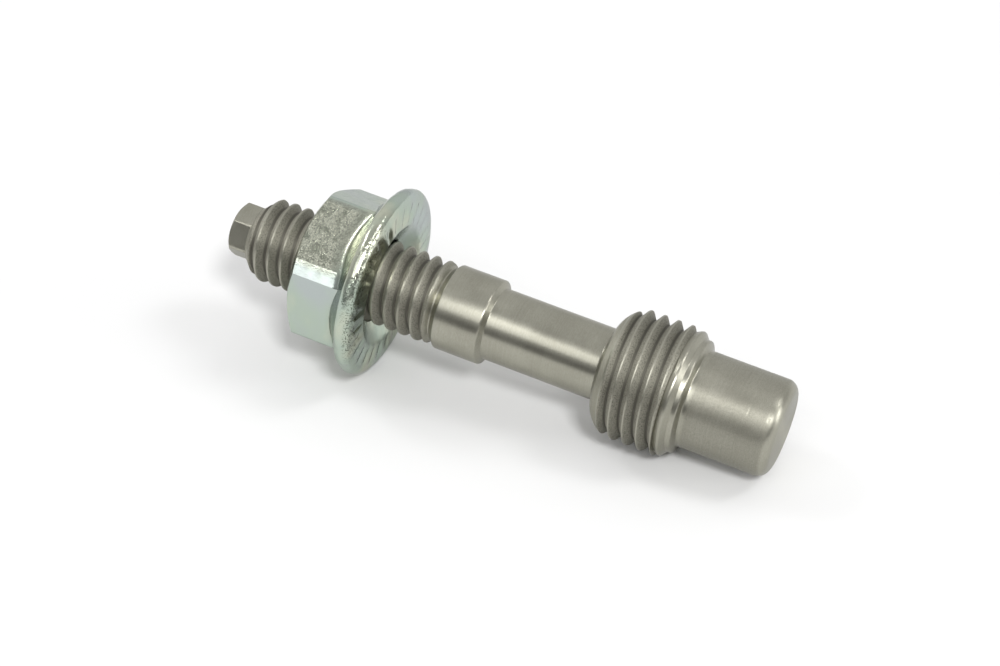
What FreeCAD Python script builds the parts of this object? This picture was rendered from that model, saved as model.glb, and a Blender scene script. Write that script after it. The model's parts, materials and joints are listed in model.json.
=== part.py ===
import FreeCAD, Part
import math
import os

import Sketcher

# An adapter stud with its serrated flange nut, in millimetres. The stud lies on a surface as it comes to
# rest, on the nut's rim and on the last crest of the large thread, with the drive tip towards -X.
# Each piece is drawn along its own X axis and is laid down by its placement.

# The driving dimensions: alias, value and meaning. Lengths are in millimetres and angles in degrees.
SIZES = [
    ("tip_flats", 3.5, "drive tip, width across flats"),
    ("tip_length", 1.2, "drive tip, length up to the thread"),
    ("tip_end_radius", 1.45, "drive tip, radius of the flat end inside its chamfer"),
    ("tip_chamfer_slope", 35.0, "drive tip, chamfer angle from the end face"),
    ("tip_root_radius", 1.98, "stud radius where the drive tip meets the thread's lead"),
    ("tip_roll", 95.5, "turn of the drive tip's hexagon about the stud's axis"),
    ("lead_length", 1.3, "small thread, length of the tapered start"),
    ("small_thread_diameter", 5.95, "small thread, major diameter"),
    ("small_thread_length", 14.45, "small thread, from the drive tip to the neck"),
    ("neck_depth", 0.375, "thread runout, depth of its smallest section below the crests"),
    ("neck_length", 0.3, "thread runout, from the last crest to the smallest diameter"),
    ("collar_diameter", 6.05, "plain collar"),
    ("collar_lead", 0.55, "plain collar, length of the chamfer at the thread"),
    ("collar_length", 3.05, "plain collar, cylindrical length"),
    ("collar_taper", 0.55, "plain collar, length of the taper down to the shank"),
    ("collar_edge", 0.35, "plain collar, rounding of the edge at the taper"),
    ("shank_relief", 0.475, "reduced shank, depth of its surface below the collar"),
    ("shank_length", 8.1, "reduced shank, length"),
    ("shank_fillet", 0.15, "reduced shank, fillet at the shoulder"),
    ("big_thread_diameter", 9.1, "large thread, major diameter"),
    ("big_thread_length", 4.75, "large thread, from the shoulder to the land"),
    ("shoulder_round", 1.7, "large thread, rounding of the shoulder"),
    ("land_step", 0.15, "land, length of the taper down from the last crest"),
    ("land_start_drop", 0.3, "land, depth of its start below the large thread's crests"),
    ("land_drop", 0.13, "land, depth of its end below the large thread's crests"),
    ("land_length", 0.5, "land, length"),
    ("land_round", 0.2, "land, rounding of its edge"),
    ("bead_step", 0.4, "bead, length of the taper down from the land"),
    ("bead_drop", 0.445, "bead, depth of its surface below the land's end"),
    ("bead_length", 0.35, "bead, length"),
    ("bead_round", 0.22, "bead, rounding of its edge"),
    ("nose_step", 0.22, "nose, length of the taper down from the bead"),
    ("nose_fillet", 0.1, "nose, fillet at the bead"),
    ("nose_diameter", 6.8, "dog nose"),
    ("nose_length", 6.3, "dog nose, length"),
    ("nose_round", 0.85, "dog nose, rounding of the end's edge"),
    ("nut_station", 6.32, "rest place of the nut's chamfered end, from the stud's tip"),
    ("nut_length", 5.68, "nut, from the chamfered end to the bearing face"),
    ("nut_flats", 10.0, "nut, width across flats"),
    ("nut_corner_round", 0.35, "nut, rounding of the hexagon's corners"),
    ("nut_end_radius", 4.75, "nut, radius of the flat end inside its chamfer"),
    ("nut_chamfer_slope", 30.0, "nut, chamfer angle from the end face"),
    ("nut_roll", 60.4, "turn of the nut's hexagon about the stud's axis"),
    ("thread_clearance", 0.045, "radial clearance between the nut's bore and the stud's thread"),
    ("bore_lead", 0.3, "nut, chamfer of the bore at the chamfered end"),
    ("flange_overhang", 1.0265, "nut, reach of the flange beyond the hexagon's corners"),
    ("flange_slope", 51.0, "nut, angle of the flange's cone from the axis"),
    ("flange_start_inset", 0.1, "nut, depth inside the hexagon's flats at which the flange's cone starts"),
    ("rim_round", 0.55, "nut, radius of the flange's rounded rim"),
    ("rim_flat", 0.02, "nut, plain width left between the rim's two roundings"),
    ("recess_radius", 4.4, "nut, radius of the smooth recess in the bearing face"),
    ("recess_slope", 30.0, "nut, angle of the recess from the bearing face"),
    ("tooth_count", 28, "serrations, number of teeth"),
    ("tooth_depth_ratio", 0.048, "serrations, gap depth for each millimetre of radius"),
    ("tooth_land_share", 0.16, "serrations, share of the pitch left flat on each tooth"),
    ("tooth_ramp_share", 0.66, "serrations, share of the gap taken by the gentle flank"),
]

FULL_TURN = 360
QUARTER_TURN = 90
HEXAGON_SIDES = 6
# How far a cutting outline stands clear of the metal that it cuts, in millimetres.
CUT_OVERRUN = 1.0
# The most that one rounding takes of the wall that it stands on, which leaves room for a fillet at its foot.
ROUND_SHARE = 0.87
# How near two lengths in millimetres are when they count as equal.
MATCH = 1e-4


class Size:
    """A number together with the sheet formula that gives it."""

    def __init__(self, value, formula):
        self.value = value
        self.formula = formula

    @staticmethod
    def of(other):
        return other if isinstance(other, Size) else Size(float(other), repr(other))

    def joined(self, other, value, sign):
        return Size(value, f"({self.formula} {sign} {other.formula})")

    def __add__(self, other):
        other = Size.of(other)
        return self.joined(other, self.value + other.value, "+")

    def __sub__(self, other):
        other = Size.of(other)
        return self.joined(other, self.value - other.value, "-")

    def __mul__(self, other):
        other = Size.of(other)
        return self.joined(other, self.value * other.value, "*")

    def __truediv__(self, other):
        other = Size.of(other)
        return self.joined(other, self.value / other.value, "/")

    def __neg__(self):
        return Size(-self.value, f"(0 - {self.formula})")


def tangent(angle):
    """Tangent of an angle in degrees."""
    return Size(math.tan(math.radians(angle.value)), f"tan({angle.formula})")


def cosine(angle):
    """Cosine of an angle in degrees."""
    return Size(math.cos(math.radians(angle.value)), f"cos({angle.formula})")


def sine(angle):
    """Sine of an angle in degrees."""
    return Size(math.sin(math.radians(angle.value)), f"sin({angle.formula})")


def arc_tangent(ratio):
    """Angle, in degrees, with this tangent."""
    return Size(math.degrees(math.atan(ratio.value)), f"atan({ratio.formula})")


def arc_sine(ratio):
    """Angle, in degrees, with this sine."""
    return Size(math.degrees(math.asin(ratio.value)), f"asin({ratio.formula})")


def smaller(first, second):
    """The smaller of two sizes."""
    return Size(min(first.value, second.value), f"min({first.formula}; {second.formula})")


def within_wall(radius, wall):
    """A rounding's radius, limited by the wall that it stands on, whichever way the wall steps."""
    reach = Size(abs(wall.value), f"abs({wall.formula})")
    return smaller(radius, reach * ROUND_SHARE)


def make_sheet(doc):
    """Write the driving dimensions into the sheet and give each by its alias."""
    sheet = doc.addObject("Spreadsheet::Sheet", "Dims")
    sizes = {}
    for row, (alias, value, meaning) in enumerate(SIZES, start=1):
        sheet.set(f"A{row}", alias)
        sheet.set(f"B{row}", str(value))
        sheet.set(f"C{row}", meaning)
        sheet.setAlias(f"B{row}", alias)
        sizes[alias] = Size(float(value), f"Dims.{alias}")
    doc.recompute()
    return sizes


def origin_feature(body, role):
    """The body's own plane or axis with this role."""
    return next(item for item in body.Origin.OriginFeatures if item.Role == role)


def outline(body, name, plane, corners, lift=None):
    """A closed sketch with straight sides, each corner held by two bound distances from the origin."""
    sketch = body.newObject("Sketcher::SketchObject", name)
    sketch.AttachmentSupport = [(origin_feature(body, plane), "")]
    sketch.MapMode = "FlatFace"
    if lift is not None:
        sketch.setExpression("AttachmentOffset.Base.z", lift.formula)
    points = [(Size.of(across), Size.of(up)) for across, up in corners]
    places = [FreeCAD.Vector(across.value, up.value, 0) for across, up in points]
    count = len(points)
    for index in range(count):
        sketch.addGeometry(Part.LineSegment(places[index], places[(index + 1) % count]), False)
    for index in range(count):
        sketch.addConstraint(Sketcher.Constraint("Coincident", index, 2, (index + 1) % count, 1))
    for index, corner in enumerate(points):
        for kind, size in zip(("DistanceX", "DistanceY"), corner):
            made = sketch.addConstraint(Sketcher.Constraint(kind, -1, 1, index, 1, size.value))
            sketch.setExpression(f"Constraints[{made}]", size.formula)
    return sketch


def circle_sketch(body, name, plane, radius):
    """A sketch of one circle about the origin."""
    sketch = body.newObject("Sketcher::SketchObject", name)
    sketch.AttachmentSupport = [(origin_feature(body, plane), "")]
    sketch.MapMode = "FlatFace"
    middle = FreeCAD.Vector(0, 0, 0)
    sketch.addGeometry(Part.Circle(middle, FreeCAD.Vector(0, 0, 1), radius.value), False)
    sketch.addConstraint(Sketcher.Constraint("Coincident", 0, 3, -1, 1))
    made = sketch.addConstraint(Sketcher.Constraint("Radius", 0, radius.value))
    sketch.setExpression(f"Constraints[{made}]", radius.formula)
    return sketch


def turned(body, name, corners, kind="PartDesign::Revolution"):
    """Material turned about the X axis, or removed there by a groove, from an outline of (x, radius)."""
    sketch = outline(body, f"{name}_outline", "XZ_Plane", corners)
    feature = body.newObject(kind, name)
    feature.Profile = sketch
    feature.ReferenceAxis = (sketch, ["H_Axis"])
    feature.Angle = FULL_TURN
    return feature


def hexagon_corner(flats):
    """Radius of a hexagon's sharp corners from its width across flats."""
    return flats / 2 / cosine(Size.of(FULL_TURN / HEXAGON_SIDES / 2))


def hexagon_bar(body, name, flats, length):
    """A hexagonal bar along +X from the origin, with a corner straight up."""
    corner = hexagon_corner(flats)
    corners = []
    for index in range(HEXAGON_SIDES):
        angle = Size.of(QUARTER_TURN + FULL_TURN / HEXAGON_SIDES * index)
        corners.append((corner * cosine(angle), corner * sine(angle)))
    sketch = outline(body, f"{name}_outline", "YZ_Plane", corners)
    bar = body.newObject("PartDesign::Pad", name)
    bar.Profile = sketch
    bar.setExpression("Length", length.formula)
    return bar


def end_chamfer(body, name, end_radius, slope, outside):
    """Cut the corners at x = 0 by a cone that leaves a flat end of end_radius."""
    height = outside - end_radius
    corners = [(0, end_radius), (height * tangent(slope), outside), (0, outside)]
    return turned(body, name, corners, "PartDesign::Groove")


def circle_edges(shape, place, radius):
    """Names of the full circles about the X axis at this place with this radius."""
    names = []
    for index, edge in enumerate(shape.Edges, start=1):
        curve = edge.Curve
        if not isinstance(curve, Part.Circle):
            continue
        if abs(curve.Center.x - place.value) < MATCH and abs(curve.Radius - radius.value) < MATCH:
            names.append(f"Edge{index}")
    return names


def rounded(body, name, base, edges, radius):
    """Fillet the named edges of a feature."""
    fillet = body.newObject("PartDesign::Fillet", name)
    fillet.Base = (base, edges)
    fillet.setExpression("Radius", radius.formula)
    body.Document.recompute()
    return fillet


def round_circle(body, name, place, radius, size):
    """Fillet the circular edge at a place along the axis."""
    tip = body.Tip
    edges = circle_edges(tip.Shape, place, radius)
    if not edges:
        raise ValueError(f"{name}: no circular edge at x {place.value:.3f}, radius {radius.value:.3f}")
    return rounded(body, name, tip, edges, size)


def stud_stations(size):
    """Places along the stud's axis, from the tip, where its sections change."""
    lengths = [
        ("lead", "tip_length"),
        ("thread", "lead_length"),
        ("thread_end", None),
        ("neck", "neck_length"),
        ("collar", "collar_lead"),
        ("collar_end", "collar_length"),
        ("shank", "collar_taper"),
        ("shoulder", "shank_length"),
        ("big_thread_end", "big_thread_length"),
        ("land", "land_step"),
        ("land_end", "land_length"),
        ("bead", "bead_step"),
        ("bead_end", "bead_length"),
        ("nose", "nose_step"),
        ("nose_end", "nose_length"),
    ]
    stations = {}
    place = Size.of(0)
    for name, length in lengths:
        if name == "thread_end":
            place = size["tip_length"] + size["small_thread_length"]
        else:
            place = place + size[length]
        stations[name] = place
    return stations


def make_stud(doc, size, at):
    """The stud, turned from one bar: drive tip, small thread, collar, shank, large thread and nose."""
    body = doc.addObject("PartDesign::Body", "stud")
    thread = size["small_thread_diameter"] / 2
    neck = thread - size["neck_depth"]
    collar = size["collar_diameter"] / 2
    shank = collar - size["shank_relief"]
    big_thread = size["big_thread_diameter"] / 2
    land_start = big_thread - size["land_start_drop"]
    land = big_thread - size["land_drop"]
    bead = land - size["bead_drop"]
    nose = size["nose_diameter"] / 2
    turned(
        body,
        "turned_bar",
        [
            (at["lead"], 0),
            (at["lead"], size["tip_root_radius"]),
            (at["thread"], thread),
            (at["thread_end"], thread),
            (at["neck"], neck),
            (at["collar"], collar),
            (at["collar_end"], collar),
            (at["shank"], shank),
            (at["shoulder"], shank),
            (at["shoulder"], big_thread),
            (at["big_thread_end"], big_thread),
            (at["land"], land_start),
            (at["land_end"], land),
            (at["bead"], bead),
            (at["bead_end"], bead),
            (at["nose"], nose),
            (at["nose_end"], nose),
            (at["nose_end"], 0),
        ],
    )
    doc.recompute()
    wall = big_thread - shank
    collar_edge = within_wall(size["collar_edge"], collar - shank)
    shoulder_round = within_wall(size["shoulder_round"], wall)
    root_fillet = within_wall(size["shank_fillet"], wall - shoulder_round)
    round_circle(body, "collar_edge_round", at["collar_end"], collar, collar_edge)
    round_circle(body, "shoulder_edge_round", at["shoulder"], big_thread, shoulder_round)
    round_circle(body, "shank_root_fillet", at["shoulder"], shank, root_fillet)
    round_circle(body, "land_edge_round", at["land_end"], land, size["land_round"])
    round_circle(body, "bead_edge_round", at["bead_end"], bead, size["bead_round"])
    round_circle(body, "nose_root_fillet", at["nose"], nose, size["nose_fillet"])
    round_circle(body, "nose_end_round", at["nose_end"], nose, size["nose_round"])
    overlap = size["lead_length"] / 2
    hexagon_bar(body, "drive_tip", size["tip_flats"], at["lead"] + overlap)
    outside = size["tip_flats"] / 2 + CUT_OVERRUN
    end_chamfer(body, "drive_tip_chamfer", size["tip_end_radius"], size["tip_chamfer_slope"], outside)
    doc.recompute()
    return body


def rim_radius(size):
    """Radius of the nut's flange, which stands beyond the hexagon's corners."""
    return hexagon_corner(size["nut_flats"]) + size["flange_overhang"]


def tooth_gap(body, size):
    """Cut the serrations: one radial gap with a gentle and a steep flank, repeated round the axis.

    The gap is lofted between two like outlines, one inside the recess and one beyond the rim. Both
    grow with their radius, so each flank is a flat face that points at the axis.
    """
    pitch = Size.of(FULL_TURN) / size["tooth_count"]
    gap = pitch * (Size.of(1) - size["tooth_land_share"])
    ramp = gap * size["tooth_ramp_share"]
    steep = gap - ramp
    face = size["nut_length"]
    inner = size["recess_radius"] - CUT_OVERRUN / 2
    outer = rim_radius(size) + CUT_OVERRUN / 2
    sketches = []
    for name, radius in (("gap_inner_outline", inner), ("gap_outer_outline", outer)):
        root = face - radius * size["tooth_depth_ratio"]
        low = -(radius * tangent(ramp))
        high = radius * tangent(steep)
        corners = [
            (face, low),
            (root, 0),
            (face, high),
            (face + CUT_OVERRUN, high),
            (face + CUT_OVERRUN, low),
        ]
        sketches.append(outline(body, name, "XY_Plane", corners, lift=radius))
    cut = body.newObject("PartDesign::SubtractiveLoft", "tooth_gap")
    cut.Profile = sketches[0]
    cut.Sections = [sketches[1]]
    cut.Ruled = True
    body.Document.recompute()
    ring = body.newObject("PartDesign::PolarPattern", "tooth_ring")
    ring.Originals = [cut]
    ring.Axis = (origin_feature(body, "X_Axis"), [""])
    ring.Angle = FULL_TURN
    ring.setExpression("Occurrences", size["tooth_count"].formula)
    body.Tip = ring
    body.Document.recompute()
    return ring


def make_flange_nut(doc, size):
    """The nut: a hexagon with a conical flange, a rounded rim and a serrated bearing face."""
    body = doc.addObject("PartDesign::Body", "flange_nut")
    face = size["nut_length"]
    rim = rim_radius(size)
    cone_turn = tangent(size["flange_slope"] / 2)
    rim_width = size["rim_round"] * (Size.of(1) + cone_turn) + size["rim_flat"]
    cone_start_radius = size["nut_flats"] / 2 - size["flange_start_inset"]
    cone_end = face - rim_width
    cone_start = cone_end - (rim - cone_start_radius) / tangent(size["flange_slope"])
    bar = hexagon_bar(body, "hexagon", size["nut_flats"], cone_end)
    doc.recompute()
    corner_edges = [
        f"Edge{index}"
        for index, edge in enumerate(bar.Shape.Edges, start=1)
        if abs(edge.Vertexes[0].X - edge.Vertexes[-1].X) > cone_end.value / 2
    ]
    rounded(body, "hexagon_corner_round", bar, corner_edges, size["nut_corner_round"])
    outside = size["nut_flats"] / 2 + CUT_OVERRUN
    end_chamfer(body, "hexagon_chamfer", size["nut_end_radius"], size["nut_chamfer_slope"], outside)
    turned(
        body,
        "flange",
        [
            (cone_start, 0),
            (cone_start, cone_start_radius),
            (cone_end, rim),
            (face, rim),
            (face, 0),
        ],
    )
    doc.recompute()
    round_circle(body, "rim_front_round", face, rim, size["rim_round"])
    round_circle(body, "rim_back_round", cone_end, rim, size["rim_round"])
    bore = size["small_thread_diameter"] / 2 + size["thread_clearance"]
    drill = body.newObject("PartDesign::Pocket", "bore")
    drill.Profile = circle_sketch(body, "bore_outline", "YZ_Plane", bore)
    drill.Type = "ThroughAll"
    drill.Midplane = True
    lead = size["bore_lead"]
    turned(
        body,
        "bore_end_chamfer",
        [(-lead, 0), (-lead, bore + lead * 2), (lead, bore), (lead, 0)],
        "PartDesign::Groove",
    )
    recess = size["recess_radius"]
    recess_floor = face - (recess - bore) * tangent(size["recess_slope"])
    clear = face + CUT_OVERRUN
    turned(
        body,
        "bearing_face_recess",
        [(recess_floor, 0), (recess_floor, bore), (face, recess), (clear, recess), (clear, 0)],
        "PartDesign::Groove",
    )
    doc.recompute()
    tooth_gap(body, size)
    return body


def touching_dip(rim, place, middle, edge_round):
    """The dip of the axis when the nut's rim and another round edge both touch the surface below.

    Each edge is a circle in the plane of the axis: rim gives the rim's place along the axis, the
    distance of its middle from the axis and its radius, and the other values say the same of the edge.
    """
    rim_place, rim_middle, rim_round = rim
    span = place - rim_place
    slope = arc_tangent((rim_middle - middle) / span)
    return slope + arc_sine((rim_round - edge_round) / span * cosine(slope))


def lay_down(stud, nut, size, at):
    """Lay both pieces on the plane z = 0, with the middle of their length over the origin.

    They pivot on the nut's rim until the large thread's last crest or the nose's edge touches first.
    """
    rim_round = size["rim_round"]
    rim_place = size["nut_station"] + size["nut_length"] - rim_round
    rim_middle = rim_radius(size) - rim_round
    rim = (rim_place, rim_middle, rim_round)
    crest = touching_dip(rim, at["big_thread_end"], size["big_thread_diameter"] / 2, Size.of(0))
    edge = size["nose_round"]
    nose = touching_dip(rim, at["nose_end"] - edge, size["nose_diameter"] / 2 - edge, edge)
    dip = smaller(crest, nose)
    rise = rim_place * sine(dip) + rim_middle * cosine(dip) + rim_round
    tip_reach = size["tip_end_radius"] * sine(dip)
    nose_reach = (size["nose_diameter"] / 2 - size["nose_round"]) * sine(dip) + size["nose_round"]
    nose_middle = (at["nose_end"] - size["nose_round"]) * cosine(dip)
    start = (tip_reach - nose_middle - nose_reach) / 2
    stud.setExpression(
        "Placement",
        f"placement(vector({start.formula}; 0; {rise.formula});"
        f" rotationy({dip.formula}) * rotationx({size['tip_roll'].formula}))",
    )
    nut_start = start + size["nut_station"] * cosine(dip)
    nut_rise = rise - size["nut_station"] * sine(dip)
    nut.setExpression(
        "Placement",
        f"placement(vector({nut_start.formula}; 0; {nut_rise.formula});"
        f" rotationy({dip.formula}) * rotationx({size['nut_roll'].formula}))",
    )


def check_and_write(doc, pieces):
    """Refuse a failed object or a bad shape, then write one STEP file for each piece."""
    for item in doc.Objects:
        if "Invalid" in item.State or "Error" in item.State:
            raise RuntimeError(f"{item.Name} failed: {item.State}")
    for piece in pieces:
        if piece.Shape.isNull() or not piece.Shape.isValid() or not piece.Shape.Solids:
            raise RuntimeError(f"{piece.Label} has no valid solid")
    os.makedirs("parts", exist_ok=True)
    for piece in pieces:
        print(f"{piece.Label}: {len(piece.Shape.Solids)} solid, {piece.Shape.Volume:.2f} mm3")
        piece.Shape.exportStep(f"parts/{piece.Label}.step")


def main():
    doc = FreeCAD.newDocument("adapter_stud")
    size = make_sheet(doc)
    at = stud_stations(size)
    stud = make_stud(doc, size, at)
    nut = make_flange_nut(doc, size)
    lay_down(stud, nut, size, at)
    doc.recompute()
    check_and_write(doc, [stud, nut])


main()
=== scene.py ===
import json
import logging
import math
from dataclasses import dataclass, field
from enum import Enum

import bmesh
import bpy
import numpy as np
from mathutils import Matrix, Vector


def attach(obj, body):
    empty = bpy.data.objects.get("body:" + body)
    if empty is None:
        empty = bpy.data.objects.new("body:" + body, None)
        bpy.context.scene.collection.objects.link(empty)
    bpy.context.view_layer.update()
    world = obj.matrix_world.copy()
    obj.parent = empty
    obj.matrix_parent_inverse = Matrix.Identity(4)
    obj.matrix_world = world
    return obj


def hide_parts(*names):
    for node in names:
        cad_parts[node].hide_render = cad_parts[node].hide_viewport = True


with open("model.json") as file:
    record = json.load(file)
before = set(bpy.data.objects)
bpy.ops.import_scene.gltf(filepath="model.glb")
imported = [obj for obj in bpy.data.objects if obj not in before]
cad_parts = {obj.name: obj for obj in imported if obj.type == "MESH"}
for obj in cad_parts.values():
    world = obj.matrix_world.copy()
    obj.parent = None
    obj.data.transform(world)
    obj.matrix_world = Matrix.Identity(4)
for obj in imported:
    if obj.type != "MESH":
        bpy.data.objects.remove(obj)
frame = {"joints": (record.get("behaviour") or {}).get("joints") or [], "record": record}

# The looks of a turned adapter stud and its serrated flange nut. Lengths are in millimetres, angles in
# degrees. A station is a distance from the stud's tip along its own axis; a turn of 0 is straight up and
# grows towards the front.

LOG = logging.getLogger("adapter_stud")
MM = 0.001
FULL_TURN = 360.0
HEXAGON_PITCH = 60.0
MERGE_DISTANCE = 2e-8
NEARLY_STRAIGHT = 89.0
BAND_FADE = 0.2

# Sockets of a mix of colours: its two colours and its result.
MIX_FIRST = 6
MIX_SECOND = 7
MIX_RESULT = 2
PROFILE_LAYER = "profile"
GROOVE_LAYER = "groove"
MAP_LAYER = "turning"

Socket = bpy.types.NodeSocket
Pair = tuple[float, float]
Band = tuple[float, float]
Colour = tuple[float, float, float]
Corner = tuple[float, float, float]
Spread = tuple[float, float, float, float]


class Slot(Enum):
    """The record's material slots."""

    STAINLESS = "stainless_steel"
    ZINC = "zinc_plated_steel"


@dataclass(frozen=True)
class StudAxis:
    """The stud's own axis as it lies, from its tip towards its nose.

    Attributes:
        start: the tip's middle, in metres.
        along: unit vector towards the nose.
    """

    start: np.ndarray
    along: np.ndarray

    @classmethod
    def from_frame(cls) -> "StudAxis":
        """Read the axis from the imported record: the drive tip's mount and the nut's line of travel.

        Returns:
            The axis.
        """
        tip = next(m for m in frame["record"]["mounts"] if m["name"] == "drive_tip")
        along = np.array(frame["joints"][0]["axis"], float)
        return cls(np.array(tip["pos_m"], float), along / np.linalg.norm(along))

    def points(self, along: np.ndarray, radius: np.ndarray, turn: np.ndarray) -> np.ndarray:
        """Place points given round the axis.

        The point is the start, plus the distance along the axis, plus the radius times a direction that
        turns from straight up (in the upright plane of the axis) towards the front.

        Args:
            along: distance from the tip, in millimetres.
            radius: distance from the axis, in millimetres.
            turn: turn about the axis, in degrees.

        Returns:
            World points in metres, with a last dimension of three.
        """
        front = np.array([0.0, -1.0, 0.0])
        up = np.cross(front, self.along)
        angle = np.radians(turn)[..., None]
        outwards = np.cos(angle) * up + np.sin(angle) * front
        return self.start + MM * (along[..., None] * self.along + radius[..., None] * outwards)

    def dip(self) -> float:
        """How far the axis points below the floor's plane, in radians."""
        return float(-math.asin(self.along[2]))

    def at(self, along: float) -> np.ndarray:
        """The point of the axis at a distance from the tip, in metres."""
        return self.start + MM * along * self.along


def unit(value: np.ndarray) -> np.ndarray:
    """The value, held between 0 and 1."""
    return np.clip(value, 0.0, 1.0)


def smooth(share: np.ndarray) -> np.ndarray:
    """Ease a share at both ends: three times its square less twice its cube."""
    return share * share * (3 - 2 * share)


def linked(name: str, data: bpy.types.ID) -> bpy.types.Object:
    """Make an object and link it to the scene.

    Args:
        name: the object's name.
        data: its mesh, light or camera.

    Returns:
        The object.
    """
    made = bpy.data.objects.new(name, data)
    bpy.context.scene.collection.objects.link(made)
    return made


@dataclass
class Strip:
    """A grid of rows round the axis.

    Attributes:
        along: distance from the tip for each row and column.
        radius: distance from the axis for each row and column.
        groove: 0 on a plain surface to 1 at a thread's root, for each row and column.
        seam_shift: how many rows further on the grid meets itself after one turn.
    """

    along: np.ndarray
    radius: np.ndarray
    groove: np.ndarray
    seam_shift: int = 0

    @classmethod
    def plain(cls, along: np.ndarray, radius: np.ndarray, columns: int) -> "Strip":
        """A strip with no groove, from a profile or from a grid that has its columns already."""
        along, radius = (
            part if part.ndim > 1 else np.repeat(part[:, None], columns, axis=1) for part in (along, radius)
        )
        return cls(along, radius, np.zeros_like(along))


def profile_path(corners: list[Corner], arc_points: int = 7) -> np.ndarray:
    """A path through corners, each rounded by an arc.

    At each corner the arc touches both runs at the distance radius / tan(half the corner's angle), and its
    points are turned about the arc's middle by equal steps.

    Args:
        corners: along, radius and rounding of each corner; the first and last have no rounding.
        arc_points: points on each arc.

    Returns:
        An array of (along, radius) rows.
    """
    raw = np.array([corner[:2] for corner in corners])
    path = [raw[:1]]
    for index in range(1, len(corners) - 1):
        here, rounding = raw[index], corners[index][2]
        back = raw[index - 1] - here
        ahead = raw[index + 1] - here
        back, ahead = back / np.linalg.norm(back), ahead / np.linalg.norm(ahead)
        half = math.acos(float(np.clip(back @ ahead, -1.0, 1.0))) / 2
        if rounding <= 0 or half > math.radians(NEARLY_STRAIGHT):
            path.append(here[None])
            continue
        middle = here + (back + ahead) / np.linalg.norm(back + ahead) * rounding / math.sin(half)
        first = here + back * rounding / math.tan(half) - middle
        last = here + ahead * rounding / math.tan(half) - middle
        share = np.linspace(0.0, 1.0, arc_points)[:, None]
        spread = math.pi / 2 - half
        arc = np.sin((1 - share) * 2 * spread) * first + np.sin(share * 2 * spread) * last
        path.append(middle + arc / math.sin(2 * spread))
    path.append(raw[-1:])
    return np.concatenate(path)


def hexagon_radius(turn: np.ndarray, corner_turn: float, flats: float, rounding: float) -> np.ndarray:
    """Distance from the axis to a hexagon with rounded corners.

    On a flat it is half the width over the cosine of the angle from the flat's middle. Near a corner it
    runs to the arc about a middle that lies on the corner's line.

    Args:
        turn: turn about the axis, in degrees.
        corner_turn: turn of one corner.
        flats: width across flats.
        rounding: radius of the rounded corners.

    Returns:
        The radius for each turn.
    """
    from_corner = (turn - corner_turn + HEXAGON_PITCH / 2) % HEXAGON_PITCH - HEXAGON_PITCH / 2
    offset = np.radians(np.abs(from_corner))
    flat = flats / 2 / np.cos(np.radians(HEXAGON_PITCH / 2) - offset)
    middle = (flats / 2 - rounding) / math.cos(math.radians(HEXAGON_PITCH / 2))
    touch = math.atan2(rounding / 2, middle + rounding * math.cos(math.radians(HEXAGON_PITCH / 2)))
    inside = np.maximum(rounding**2 - (middle * np.sin(offset)) ** 2, 0.0)
    arc = middle * np.cos(offset) + np.sqrt(inside)
    return np.where(offset < touch, arc, flat)


def blended_rows(edges: list[np.ndarray], counts: list[int]) -> np.ndarray:
    """Rows that run in equal steps from each edge to the next.

    Args:
        edges: one value or array of columns for each edge.
        counts: steps between neighbouring edges.

    Returns:
        The rows, with the shared edges once.
    """
    rows = [edges[0][None]]
    for low, high, count in zip(edges, edges[1:], counts):
        share = np.arange(1, count + 1)[:, None] / count
        rows.append(low[None] * (1 - share) + high[None] * share)
    return np.concatenate(rows)


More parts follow.
